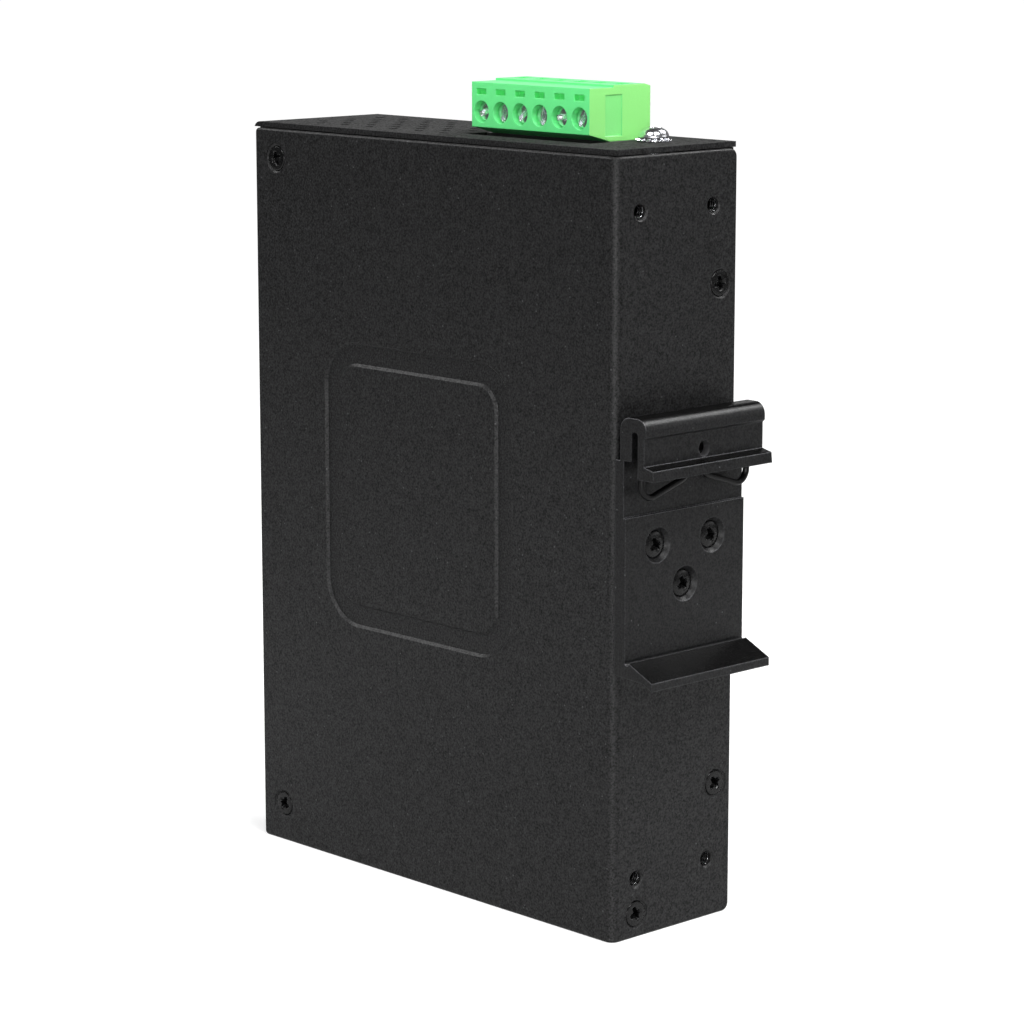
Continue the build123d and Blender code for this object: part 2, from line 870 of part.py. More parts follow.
# Earth screw, toothed washer and clinch nut
def earth_screw():
    low = plate_top + washer_thickness
    head = turned_z(earth_head / 2, low, low + earth_head_height, earth_x, earth_y)
    rim = head.edges().filter_by(GeomType.CIRCLE).sort_by(Axis.Z)[-1]
    head = fillet(rim, earth_head_round)
    shank = turned_z(screw_diameter / 2, low - earth_length, low, earth_x, earth_y)
    recess = cross_recess(cross_width, cross_slot, cross_depth)
    return head + shank - Pos(earth_x, earth_y, low + earth_head_height) * recess


def earth_washer():
    washer = turned_z(washer_outer / 2, plate_top, plate_top + washer_thickness, 0, 0)
    washer -= turned_z(washer_inner / 2, plate_under, plate_top + 2 * washer_thickness, 0, 0)
    for i in range(washer_teeth):
        gap = block(
            washer_outer / 2 - washer_tooth_depth, washer_outer,
            -washer_tooth_depth / 3, washer_tooth_depth / 3,
            plate_under, plate_top + 2 * washer_thickness,
        )
        washer -= Rot(0, 0, 360 / washer_teeth * i) * gap
    return Pos(earth_x, earth_y, 0) * washer


def earth_nut():
    nut = turned_z(nut_flange / 2, plate_under - nut_height, plate_under, earth_x, earth_y)
    return nut - turned_z(screw_diameter / 2, plate_under - 2 * nut_height, plate_top, earth_x, earth_y)


# Circuit board and its fixings
def board_fixings():
    """The four fixing points of the board, as Y and Z."""
    ys = (transformer_rear + board_corner_inset, board_rear - board_corner_inset)
    zs = (board_bottom + board_corner_inset, board_top - board_corner_inset - header_space())
    return [(y, z) for y in ys for z in zs]


def header_space():
    """How far the upper fixings stay below the plug's header."""
    return socket_depth + header_floor


def circuit_board():
    plate = block(board_back, board_face, board_front, board_rear, board_bottom, board_top)
    plate = fillet(plate.edges().filter_by(Axis.X), flange_corner)
    for y, z in board_fixings():
        plate -= turned_x(screw_diameter / 2, board_back - sheet, board_face + sheet, y, z)
    for y in pole_places:
        plate -= pin_blank(y)
    return plate


def board_standoffs():
    posts = []
    for y, z in board_fixings():
        hexagon = RegularPolygon(standoff_across / 2, 6, major_radius=False)
        plane = Plane(origin=(wall_inside, y, z), z_dir=(1, 0, 0))
        post = extrude(plane * hexagon, standoff_length)
        posts.append(post - turned_x(thread_hole / 2, wall_inside - sheet, board_back + sheet, y, z))
    return group(posts)


def board_screws():
    screws = []
    for y, z in board_fixings():
        head = turned_x(board_screw_head / 2, board_face, board_face + board_screw_head_height, y, z)
        rim = head.edges().filter_by(GeomType.CIRCLE).sort_by(Axis.X)[-1]
        head = fillet(rim, board_screw_head_round)
        shank = turned_x(thread_hole / 2, board_back - standoff_length / 2, board_face, y, z)
        place = facing_right(board_face + board_screw_head_height, y, z)
        screws.append(head + shank - place * cross_recess(cross_width, cross_slot, cross_depth))
    return group(screws)


# Port jacks
def rj45_shield(height):
    half = jack_width / 2
    can = block(board_face, board_face + jack_height, jack_front, jack_rear, height - half, height + half)
    room = block(
        board_face + shield, board_face + jack_height - shield,
        jack_front - sheet, jack_rear - shield,
        height - half + shield, height + half - shield,
    )
    return can - room


def latch_top():
    """How high the latch slot reaches, from the board."""
    return port_base + port_height + latch_height


def rj45_insert(height):
    half = jack_width / 2 - shield
    floor = board_face + port_base
    body = block(
        board_face + shield, board_face + jack_height - shield,
        jack_front, jack_rear - shield,
        height - half, height + half,
    )
    body -= block(
        floor, floor + port_height, jack_front - sheet, jack_front + port_depth,
        height - port_width / 2, height + port_width / 2,
    )
    body -= block(
        floor + port_height, board_face + latch_top(), jack_front - sheet, jack_front + port_depth,
        height - latch_width / 2, height + latch_width / 2,
    )
    body -= block(
        board_face + latch_top(), board_face + latch_top() + latch_tip_height,
        jack_front - sheet, jack_front + port_depth,
        height - latch_tip_width / 2, height + latch_tip_width / 2,
    )
    for side in (-1, 1):
        body -= led_window(height, side)
    return body


def led_window(height, side):
    """One lamp window in a jack's upper corner."""
    z = height + side * (jack_width / 2 - shield - led_window_width / 2 - contact_width)
    x1 = board_face + jack_height - shield - contact_width
    return block(
        x1 - led_window_height, x1, jack_front, jack_front + led_window_depth,
        z - led_window_width / 2, z + led_window_width / 2,
    )


def port_leds():
    return group(led_window(height, side) for height in port_places for side in (-1, 1))


def rj45_contacts(height):
    floor = board_face + port_base
    y0 = jack_front + contact_inset
    y1 = jack_front + port_depth
    half = contact_width / 2
    strips = []
    for i in range(contact_count):
        z = height + (i - (contact_count - 1) / 2) * contact_pitch
        outline = Polyline(
            (floor, y0, z - half),
            (floor, y0 + 2 * contact_thickness, z - half),
            (floor + contact_rise, y1, z - half),
            (floor + contact_rise + contact_thickness, y1, z - half),
            (floor + contact_thickness, y0, z - half),
            close=True,
        )
        strips.append(extrude(make_face(outline), contact_width, dir=(0, 0, 1)))
    return group(strips)


# Status lamps
def status_lamps():
    x = board_face + status_led_lift
    lamps = []
    for height in status_led_places():
        lamp = turned_y(status_led_diameter / 2, jack_front, jack_front + status_led_length, x, height)
        tip = lamp.edges().filter_by(GeomType.CIRCLE).sort_by(Axis.Y)[0]
        lamps.append(fillet(tip, status_led_round))
    return group(lamps)


def led_holder():
    x = board_face + status_led_lift
    y1 = jack_front + status_led_length
    half = status_led_diameter / 2 + sheet
    holder = block(
        board_face, x + half, y1 - led_holder_depth, y1,
        status_led_height - half, status_led_places()[-1] + half,
    )
    for height in status_led_places():
        holder -= turned_y(status_led_diameter / 2, y1 - 2 * led_holder_depth, far, x, height)
    return holder


# Parts soldered to the board
def on_board(length, width, height, y, z):
    """A plain package on the board: its length in Y, its width in Z."""
    return block(
        board_face, board_face + height, y - length / 2, y + length / 2, z - width / 2, z + width / 2
    )


def package(size, step):
    """A plain package at a step from the switch chip."""
    length, width, height = size
    return on_board(length, width, height, chip_y + step[0], chip_z + step[1])


def lan_transformers():
    packages = []
    for height in port_places:
        body = on_board(transformer_length, transformer_width, transformer_height, transformer_y, height)
        packages.append(chamfer(body.faces().sort_by(Axis.X)[-1].edges(), transformer_bevel))
    return group(packages)


def heat_sink():
    half = sink_size / 2
    sink = block(
        sink_bottom, sink_bottom + sink_height, chip_y - half, chip_y + half, chip_z - half, chip_z + half
    )
    pitch = (sink_size - sink_fin) / (sink_fins - 1)
    for i in range(sink_fins - 1):
        y0 = chip_y - half + sink_fin + i * pitch
        sink -= block(
            sink_bottom + sink_base, far, y0, y0 + pitch - sink_fin, chip_z - sink_size, chip_z + sink_size
        )
    return sink


def thermal_pad():
    pad = on_board(switch_chip_size, switch_chip_size, thermal_pad_thickness, chip_y, chip_z)
    return Pos(switch_chip_height, 0, 0) * pad


def core_window():
    """One window of the core: from its middle leg and to its outer leg, as distances in Y."""
    return power_core_leg / 2, power_core_length / 2 - power_core_leg / 2


def power_transformer_core():
    core = on_board(power_core_length, power_core_width, power_core_height, core_y, core_z)
    low = board_face + power_core_leg / 2
    high = board_face + power_core_height - power_core_leg / 2
    near, away = core_window()
    for y0, y1 in ((core_y - away, core_y - near), (core_y + near, core_y + away)):
        core -= block(low, high, y0, y1, core_z - far, core_z + far)
    return core


def power_transformer_winding():
    """The wound bobbin round the core's middle leg."""
    near, away = core_window()
    thickness = away - near - winding_clearance
    half_width = power_core_width / 2
    low = board_face + power_core_leg / 2
    high = board_face + power_core_height - power_core_leg / 2
    coil = block(
        low, high, core_y - near - thickness, core_y + near + thickness,
        core_z - half_width - thickness, core_z + half_width + thickness,
    )
    return coil - block(
        low - sheet, high + sheet, core_y - near, core_y + near, core_z - half_width, core_z + half_width
    )


def power_inductor(step):
    body = package((inductor_size, inductor_size, inductor_height), step)
    return chamfer(body.edges().filter_by(Axis.X), inductor_corner)


def bulk_capacitor(step):
    y = chip_y + step[0]
    z = chip_z + step[1]
    can = turned_x(capacitor_diameter / 2, board_face, board_face + capacitor_height, y, z)
    return fillet(can.edges().filter_by(GeomType.CIRCLE).sort_by(Axis.X)[-1], capacitor_round)


def surge_arrester():
    y = chip_y + arrester_step[0]
    z = chip_z + arrester_step[1]
    return turned_x(arrester_diameter / 2, board_face, board_face + arrester_height, y, z)


def power_transistors():
    y, z = transistor_step
    return group(package(transistor_size, (y + i * transistor_pitch, z)) for i in range(transistors))


def ceramic_capacitors():
    y, z = ceramic_step
    return group(
        package(ceramic_size, (y + i * ceramic_column_pitch, z - j * ceramic_row_pitch))
        for i in range(ceramic_columns)
        for j in range(ceramic_rows)
    )


# Write every node
save("main_chassis", main_chassis())
save("side_cover", side_cover())
save("front_label", front_label())
save("side_screws", side_screws())
save("rear_screws", rear_screws())
save("wall_mount_nuts", wall_mount_nuts())
save("rail_clip", rail_clip())
save("rail_clip_nuts", rail_clip_nuts())
save("rail_clip_screws", rail_clip_screws())
save("rail_clip_spring", rail_clip_spring())
save("terminal_plug", terminal_plug())
save("clamp_screws", clamp_screws())
save("wire_clamps", wire_clamps())
save("terminal_header", terminal_header())
save("header_pins", header_pins())
save("earth_screw", earth_screw())
save("earth_washer", earth_washer())
save("earth_nut", earth_nut())
save("circuit_board", circuit_board())
save("board_standoffs", board_standoffs())
save("board_screws", board_screws())
for number, port_height_z in enumerate(port_places, start=1):
    save(f"rj45_shield_{number}", rj45_shield(port_height_z))
    save(f"rj45_insert_{number}", rj45_insert(port_height_z))
    save(f"rj45_contacts_{number}", rj45_contacts(port_height_z))
save("port_leds", port_leds())
save("status_leds", status_lamps())
save("led_holder", led_holder())
save("lan_transformers", lan_transformers())
save("switch_chip", on_board(switch_chip_size, switch_chip_size, switch_chip_height, chip_y, chip_z))
save("thermal_pad", thermal_pad())
save("heat_sink", heat_sink())
save("poe_controller", package(poe_controller_size, poe_controller_step))
save("flash_memory", package(flash_size, flash_step))
save("crystal", package(crystal_size, crystal_step))
save("power_transformer_core", power_transformer_core())
save("power_transformer_winding", power_transformer_winding())
save("power_inductor_1", power_inductor(inductor_1_step))
save("power_inductor_2", power_inductor(inductor_2_step))
save("bulk_capacitor_1", bulk_capacitor(capacitor_1_step))
save("bulk_capacitor_2", bulk_capacitor(capacitor_2_step))
save("input_fuse", package(fuse_size, fuse_step))
save("surge_arrester", surge_arrester())
save("power_transistors", power_transistors())
save("ceramic_capacitors", ceramic_capacitors())
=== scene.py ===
# %% [markdown]
# # A slim network switch for a rail, dressed for its portrait
# The solids come from the CAD model, in metres, and stay where they are.
# This notebook gives each of them its finish, adds the small pieces that a
# CAD model leaves plain, and sets up a white studio round it. Each cell does
# one thing and prints what it made, so it can be run and changed by itself.

# %% Load the frame
import json
import math

import bmesh
import bpy
from mathutils import Matrix, Vector


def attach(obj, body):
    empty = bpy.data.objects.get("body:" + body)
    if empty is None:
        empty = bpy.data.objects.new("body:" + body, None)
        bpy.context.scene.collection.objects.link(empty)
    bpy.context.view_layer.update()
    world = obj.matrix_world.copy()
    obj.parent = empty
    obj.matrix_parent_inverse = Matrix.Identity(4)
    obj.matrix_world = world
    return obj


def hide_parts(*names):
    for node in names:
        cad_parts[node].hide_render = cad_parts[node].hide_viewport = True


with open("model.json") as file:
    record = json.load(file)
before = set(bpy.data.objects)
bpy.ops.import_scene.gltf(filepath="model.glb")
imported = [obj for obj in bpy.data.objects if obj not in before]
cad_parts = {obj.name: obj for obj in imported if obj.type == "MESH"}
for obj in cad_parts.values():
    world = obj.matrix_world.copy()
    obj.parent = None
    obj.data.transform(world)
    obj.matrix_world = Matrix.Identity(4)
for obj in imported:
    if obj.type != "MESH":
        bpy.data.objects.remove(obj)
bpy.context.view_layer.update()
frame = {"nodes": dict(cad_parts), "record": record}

nodes = frame["nodes"]
millimetre = 0.001
print("CAD nodes:", len(nodes))

# %% [markdown]
# ## Camera
# A photographer's long lens keeps the upright edges nearly parallel. The lens
# and the place were worked out from the corners of the case in the picture:
# the view is from behind, over the edge between the side cover and the rear.
# A camera looks along its own -Z, so the axis that points back from the
# object gives its rotation.

# %% Camera
view_azimuth = math.radians(136.62)
view_elevation = math.radians(10.71)
camera_place = Vector((0.4227, 0.45455, 0.18757))

camera_data = bpy.data.cameras.new("camera")
camera_data.sensor_width = 36.0
camera_data.lens = 117.48
camera = bpy.data.objects.new("camera", camera_data)
bpy.context.scene.collection.objects.link(camera)
back = Vector((
    math.sin(view_azimuth) * math.cos(view_elevation),
    -math.cos(view_azimuth) * math.cos(view_elevation),
    math.sin(view_elevation),
))
camera.rotation_euler = back.to_track_quat("Z", "Y").to_euler()
camera.location = camera_place
bpy.context.scene.camera = camera
bpy.context.scene.view_settings.view_transform = "Standard"
print("camera is", round(camera_place.length, 3), "m from the origin")

# %% [markdown]
# ## Studio
# Black sheet metal shows mostly what it reflects, so the studio matters more
# than the colour. The floor is white and bright and the room above it is
# greyer, which is why the lower half of the case looks lighter than the top.
# Near the case the floor keeps its shadow, and further off it glows to white.
# Each soft box is placed for one thing that it draws: the flat faces, the
# round bend, the roll of the rail clip, or the rims of the holes. The boxes
# for the bend and the rear draw shine alone: they streak the metal, and leave
# the colours of the paint, the plug and the floor as they are.

# %% Node helpers
def node(tree, kind, **settings):
    """Adds a shader node; a setting named like an input sets that input."""
    new = tree.nodes.new(kind)
    for name, value in settings.items():
        if name in new.inputs:
            new.inputs[name].default_value = value
        else:
            setattr(new, name, value)
    return new


def link(tree, source, target):
    """Joins an output socket to an input socket."""
    tree.links.new(source, target)


# %% Floor
floor_size = 14.0
paper_near = 0.66
paper_far = 0.12
paper_fades = (0.15, 0.90)
glow_near = 0.48
glow_far = 1.0
glow_fades = (0.15, 0.80)

floor_mesh = bpy.data.meshes.new("studio_floor")
half = floor_size / 2
floor_mesh.from_pydata(
    [(-half, -half, 0), (half, -half, 0), (half, half, 0), (-half, half, 0)], [], [(0, 1, 2, 3)]
)
floor = bpy.data.objects.new("studio_floor", floor_mesh)
bpy.context.scene.collection.objects.link(floor)

paper = bpy.data.materials.new("white_paper")
paper.use_nodes = True
tree = paper.node_tree
tree.nodes.clear()
output = node(tree, "ShaderNodeOutputMaterial")
matt = node(tree, "ShaderNodeBsdfDiffuse")
glow = node(tree, "ShaderNodeEmission")
rays = node(tree, "ShaderNodeLightPath")
spot = node(tree, "ShaderNodeNewGeometry")
away = node(tree, "ShaderNodeVectorMath", operation="LENGTH")
fades = []
for near, distant, (starts, full) in (
    (paper_near, paper_far, paper_fades), (glow_near, glow_far, glow_fades),
):
    fade = node(tree, "ShaderNodeMapRange", interpolation_type="SMOOTHSTEP")
    fade.inputs["From Min"].default_value = starts
    fade.inputs["From Max"].default_value = full
    fade.inputs["To Min"].default_value = near
    fade.inputs["To Max"].default_value = distant
    link(tree, away.outputs["Value"], fade.inputs["Value"])
    fades.append(fade.outputs[0])
seen = node(tree, "ShaderNodeMath", operation="MULTIPLY")
both = node(tree, "ShaderNodeAddShader")
link(tree, spot.outputs["Position"], away.inputs[0])
link(tree, rays.outputs["Is Camera Ray"], seen.inputs[0])
link(tree, fades[0], matt.inputs["Color"])
link(tree, fades[1], seen.inputs[1])
link(tree, seen.outputs[0], glow.inputs["Strength"])
link(tree, matt.outputs[0], both.inputs[0])
link(tree, glow.outputs[0], both.inputs[1])
link(tree, both.outputs[0], output.inputs["Surface"])
floor_mesh.materials.append(paper)

# %% Room
horizon_light = 0.20
ceiling_light = 0.06

world = bpy.data.worlds.new("studio_room")
bpy.context.scene.world = world
world.use_nodes = True
tree = world.node_tree
tree.nodes.clear()
output = node(tree, "ShaderNodeOutputWorld")
room = node(tree, "ShaderNodeBackground")
backdrop = node(tree, "ShaderNodeBackground", Color=(1, 1, 1, 1), Strength=1.0)
rays = node(tree, "ShaderNodeLightPath")
mix = node(tree, "ShaderNodeMixShader")
direction = node(tree, "ShaderNodeTexCoord")
split = node(tree, "ShaderNodeSeparateXYZ")
height = node(tree, "ShaderNodeMapRange")
height.inputs["To Min"].default_value = horizon_light
height.inputs["To Max"].default_value = ceiling_light
link(tree, direction.outputs["Generated"], split.inputs[0])
link(tree, split.outputs["Z"], height.inputs["Value"])
link(tree, height.outputs[0], room.inputs["Color"])
link(tree, rays.outputs["Is Camera Ray"], mix.inputs["Fac"])
link(tree, room.outputs[0], mix.inputs[1])
link(tree, backdrop.outputs[0], mix.inputs[2])
link(tree, mix.outputs[0], output.inputs["Surface"])


# %% Soft boxes
def soft_box(name, place, aim, size, power, only_shine=False):
    """A lamp at a place, turned towards another point; one for shine only draws highlights."""
    data = bpy.data.lights.new(name, "AREA")
    data.shape = "RECTANGLE"
    data.size, data.size_y = size
    data.energy = power
    lamp = bpy.data.objects.new(name, data)
    lamp.location = place
    lamp.rotation_euler = (Vector(place) - Vector(aim)).to_track_quat("Z", "Y").to_euler()
    lamp.visible_camera = False
    lamp.visible_diffuse = not only_shine
    bpy.context.scene.collection.objects.link(lamp)


case_middle = (0.0, 0.0, 0.07)
clip_middle = (0.0, 0.055, 0.09)
soft_box("sheen_box", (-0.95, -1.00, 0.45), case_middle, (1.0, 0.4), 1.0)
soft_box("edge_box", (0.40, -0.85, 0.86), case_middle, (0.40, 0.40), 4.6)
soft_box("side_box", (0.85, 0.15, 0.95), case_middle, (0.45, 0.45), 6.0)
soft_box("fill_box", (1.05, 1.00, 0.14), case_middle, (0.6, 0.6), 8.0)
soft_box("bend_box", (1.10, 1.05, 0.16), case_middle, (2.0, 0.4), 4.5, only_shine=True)
soft_box("roll_box", (-0.80, 0.32, 0.95), clip_middle, (0.42, 0.42), 9.0)
soft_box("rim_box", (0.20, 0.84, 1.10), clip_middle, (0.50, 0.45), 11.0)
soft_box("rear_box", (-1.00, 1.05, 0.40), case_middle, (1.0, 0.3), 1.2, only_shine=True)

# %% [markdown]
# ## Effects that several finishes share
# Powder coat, moulded plastic and cut metal all need the same few effects:
# a fine grain, a painted highlight along soft edges, and specks. Each one is a
# node group with named sockets, so a finish only says how much of it there is.
# The edge mask, which paints that highlight, is strongest where an edge faces
# up, where the light of the room would fall. The patterns use object
# coordinates. The object sits at the origin in metres, so a scale of 3000
# makes grains a third of a millimetre across.

# %% Group: soft edges
def new_group(name, inputs, outputs):
    """An empty shader group with its sockets, and its two end nodes."""
    group = bpy.data.node_groups.new(name, "ShaderNodeTree")
    for socket, kind, value in inputs:
        made = group.interface.new_socket(name=socket, in_out="INPUT", socket_type=kind)
        if value is not None:
            made.default_value = value
    for socket, kind in outputs:
        group.interface.new_socket(name=socket, in_out="OUTPUT", socket_type=kind)
    return group, group.nodes.new("NodeGroupInput"), group.nodes.new("NodeGroupOutput")


number = "NodeSocketFloat"
colour = "NodeSocketColor"
vector = "NodeSocketVector"

# Cosines of the angle between the rounded and the true normal
still_flat = 0.998
fully_bent = 0.92
# How far up the rounded normal points, and the share left on other edges
starts_upward = 0.15
fully_upward = 0.60
share_elsewhere = 0.13

# The Edge output masks a painted highlight, strongest on edges that face up; Normal is the rounded
# normal
soft_edge, start, end = new_group(
    "soft_edge", [("Radius", number, 0.0002)], [("Edge", number), ("Normal", vector)]
)
rounded = node(soft_edge, "ShaderNodeBevel", samples=6)
flat = node(soft_edge, "ShaderNodeNewGeometry")
same = node(soft_edge, "ShaderNodeVectorMath", operation="DOT_PRODUCT")
bend = node(soft_edge, "ShaderNodeMapRange")
bend.inputs["From Min"].default_value = still_flat
bend.inputs["From Max"].default_value = fully_bent
link(soft_edge, start.outputs["Radius"], rounded.inputs["Radius"])
link(soft_edge, rounded.outputs[0], same.inputs[0])
link(soft_edge, flat.outputs["Normal"], same.inputs[1])
link(soft_edge, same.outputs["Value"], bend.inputs["Value"])
split = node(soft_edge, "ShaderNodeSeparateXYZ")
skyward = node(soft_edge, "ShaderNodeMapRange")
skyward.inputs["From Min"].default_value = starts_upward
skyward.inputs["From Max"].default_value = fully_upward
skyward.inputs["To Min"].default_value = share_elsewhere
lit = node(soft_edge, "ShaderNodeMath", operation="MULTIPLY")
link(soft_edge, rounded.outputs[0], split.inputs[0])
link(soft_edge, split.outputs["Z"], skyward.inputs["Value"])
link(soft_edge, bend.outputs[0], lit.inputs[0])
link(soft_edge, skyward.outputs[0], lit.inputs[1])
link(soft_edge, lit.outputs[0], end.inputs["Edge"])
link(soft_edge, rounded.outputs[0], end.inputs["Normal"])

# %% Group: grain
noise_low = 0.3
noise_high = 0.7
clump_share = 0.18

grain, start, end = new_group(
    "grain",
    [("Scale", number, 3000.0), ("Softness", number, 0.5)],
    [("Height", number), ("Tone", number)],
)
place = node(grain, "ShaderNodeTexCoord")
sizes = {}
for name, share, detail in (("fine", 1.0, 1.0), ("clump", 0.33, 1.0), ("broad", 0.02, 2.0)):
    factor = node(grain, "ShaderNodeMath", operation="MULTIPLY")
    factor.inputs[1].default_value = share
    noise = node(grain, "ShaderNodeTexNoise", Detail=detail)
    link(grain, start.outputs["Scale"], factor.inputs[0])
    link(grain, factor.outputs[0], noise.inputs["Scale"])
    link(grain, start.outputs["Softness"], noise.inputs["Roughness"])
    link(grain, place.outputs["Object"], noise.inputs["Vector"])
    stretch = node(grain, "ShaderNodeMapRange")
    stretch.inputs["From Min"].default_value = noise_low
    stretch.inputs["From Max"].default_value = noise_high
    link(grain, noise.outputs[0], stretch.inputs["Value"])
    sizes[name] = stretch.outputs[0]
blend = node(grain, "ShaderNodeMix", data_type="FLOAT")
blend.inputs["Factor"].default_value = clump_share
link(grain, sizes["fine"], blend.inputs[2])
link(grain, sizes["clump"], blend.inputs[3])
link(grain, blend.outputs[0], end.inputs["Height"])
link(grain, sizes["broad"], end.inputs["Tone"])

# %% Group: specks
specks, start, end = new_group(
    "specks",
    [("Scale", number, 1200.0), ("Share", number, 0.1), ("Size", number, 0.3)],
    [("Mask", number)],
)
place = node(specks, "ShaderNodeTexCoord")
cells = node(specks, "ShaderNodeTexVoronoi")
chosen = node(specks, "ShaderNodeMath", operation="LESS_THAN")
chance = node(specks, "ShaderNodeSeparateXYZ")
dot = node(specks, "ShaderNodeMapRange")
dot.inputs["To Min"].default_value = 1.0
dot.inputs["To Max"].default_value = 0.0
result = node(specks, "ShaderNodeMath", operation="MULTIPLY")
link(specks, place.outputs["Object"], cells.inputs["Vector"])
link(specks, start.outputs["Scale"], cells.inputs["Scale"])
link(specks, cells.outputs["Color"], chance.inputs[0])
link(specks, chance.outputs["X"], chosen.inputs[0])
link(specks, start.outputs["Share"], chosen.inputs[1])
link(specks, cells.outputs["Distance"], dot.inputs["Value"])
link(specks, start.outputs["Size"], dot.inputs["From Max"])
link(specks, dot.outputs[0], result.inputs[0])
link(specks, chosen.outputs[0], result.inputs[1])
link(specks, result.outputs[0], end.inputs["Mask"])
print("effect groups:", [g.name for g in bpy.data.node_groups])


# %% [markdown]
# ## Finishes
# Every finish is one Principled shader. Its colour is mixed from the written
# colour, a broad tone and a painted highlight on the edge mask, its roughness
# varies with the grain, and the grain also lifts the surface through a Bump
# node. Powder coat is a skin of tiny beads, so a clear coat that is stronger on
# the grains gives it a broken shine. Faces that look straight up get a colour
# of their own, which on the powder coat is a painted light, far paler than the
# sides, for the sheen that light from above gives the top. What is the same all
# over a surface, such as the specular level, is set on the shader itself.

# %% Finish builder
nearly_up = 0.75
straight_up = 0.93
grain_softness = 0.6
speck_size = 0.12
top_range = (0.1, 1.9)
highlight_grain_range = (0.4, 1.0)
highlight_on_top = 0.1


def placed(tree, group, **values):
    """A group node with its inputs set."""
    new = tree.nodes.new("ShaderNodeGroup")
    new.node_tree = group
    for name, value in values.items():
        new.inputs[name].default_value = value
    return new


def span(tree, source, low, high):
    """Maps a value of 0 to 1 to a range."""
    new = node(tree, "ShaderNodeMapRange")
    new.inputs["To Min"].default_value = low
    new.inputs["To Max"].default_value = high
    link(tree, source, new.inputs["Value"])
    return new.outputs[0]


def mixed(tree, amount, first, second):
    """A colour between two others; each is a colour or a socket."""
    new = node(tree, "ShaderNodeMix", data_type="RGBA")
    link(tree, amount, new.inputs["Factor"])
    for value, socket in ((first, new.inputs[6]), (second, new.inputs[7])):
        if isinstance(value, bpy.types.NodeSocket):
            link(tree, value, socket)
        else:
            socket.default_value = (*value, 1.0)
    return new.outputs[2]


def blended(tree, amount, source, value):
    """A number between a socket's and a fixed one."""
    new = node(tree, "ShaderNodeMix", data_type="FLOAT")
    new.inputs[3].default_value = value
    link(tree, amount, new.inputs["Factor"])
    link(tree, source, new.inputs[2])
    return new.outputs[0]


def scaled(rgb, factor):
    """A colour made lighter or darker."""
    return tuple(min(1.0, channel * factor) for channel in rgb)


def facing_up(tree):
    """A mask of the faces that look straight up."""
    face = node(tree, "ShaderNodeNewGeometry")
    split = node(tree, "ShaderNodeSeparateXYZ")
    amount = node(tree, "ShaderNodeMapRange", interpolation_type="SMOOTHSTEP")
    amount.inputs["From Min"].default_value = nearly_up
    amount.inputs["From Max"].default_value = straight_up
    link(tree, face.outputs["Normal"], split.inputs[0])
    link(tree, split.outputs["Z"], amount.inputs["Value"])
    return amount.outputs[0]


def finish(
    name, rgb, roughness, metallic=0.0, specular=0.5, grain_scale=3000.0, grain_lift=0.0,
    grain_tone=0.0, tone=0.06, edge_radius=0.15, edge_light=1.3, speck_share=0.0,
    speck_light=1.5, speck_scale=600.0, coat=0.0, top_painted_rgb=None, top_roughness=0.5,
    beads=None, bead_roughness=0.45,
):
    """A material: lengths in millimetres, colours as plain linear red, green and blue."""
    material = bpy.data.materials.new(name)
    material.use_nodes = True
    tree = material.node_tree
    shader = tree.nodes["Principled BSDF"]
    shader.inputs["Metallic"].default_value = metallic
    shader.inputs["Specular IOR Level"].default_value = specular
    shader.inputs["Coat Weight"].default_value = coat
    edges = placed(tree, soft_edge, Radius=edge_radius * millimetre)
    skin = placed(tree, grain, Scale=grain_scale, Softness=grain_softness)
    low = mixed(tree, skin.outputs["Tone"], scaled(rgb, 1 - tone), scaled(rgb, 1 + tone))
    body = low
    if grain_tone:
        lighter = 1 + grain_tone
        high = mixed(
            tree, skin.outputs["Tone"], scaled(rgb, lighter - tone), scaled(rgb, lighter + tone)
        )
        body = mixed(tree, skin.outputs["Height"], low, high)
    if speck_share:
        spots = placed(tree, specks, Scale=speck_scale, Share=speck_share, Size=speck_size)
        body = mixed(tree, spots.outputs["Mask"], body, scaled(rgb, speck_light))
    rough = span(tree, skin.outputs["Height"], *roughness)
    # Painted light: faces that look straight up are mixed to a colour of their own, far paler on the
    # powder coat
    if top_painted_rgb:
        up = facing_up(tree)
        darkest, lightest = (scaled(top_painted_rgb, factor) for factor in top_range)
        body = mixed(tree, up, body, mixed(tree, skin.outputs["Height"], darkest, lightest))
        rough = blended(tree, up, rough, top_roughness)
    # Painted highlight: the edge mask, varied by the grain and weaker on faces that look up, mixes
    # in a colour edge_light times lighter
    edge_highlight_mix = node(tree, "ShaderNodeMath", operation="MULTIPLY")
    link(tree, edges.outputs["Edge"], edge_highlight_mix.inputs[0])
    highlight_grain = span(tree, skin.outputs["Height"], *highlight_grain_range)
    if top_painted_rgb:
        highlight_grain = blended(tree, up, highlight_grain, highlight_on_top)
    link(tree, highlight_grain, edge_highlight_mix.inputs[1])
    body = mixed(tree, edge_highlight_mix.outputs[0], body, scaled(rgb, edge_light))
    link(tree, body, shader.inputs["Base Color"])
    if beads:
        weight = span(tree, skin.outputs["Height"], *beads)
        if top_painted_rgb:
            weight = blended(tree, up, weight, 0.0)
        link(tree, weight, shader.inputs["Coat Weight"])
        shader.inputs["Coat Roughness"].default_value = bead_roughness
    link(tree, rough, shader.inputs["Roughness"])
    lift = node(tree, "ShaderNodeBump", Strength=1.0, Distance=grain_lift * millimetre)
    link(tree, skin.outputs["Height"], lift.inputs["Height"])
    link(tree, edges.outputs["Normal"], lift.inputs["Normal"])
    link(tree, lift.outputs[0], shader.inputs["Normal"])
    return material


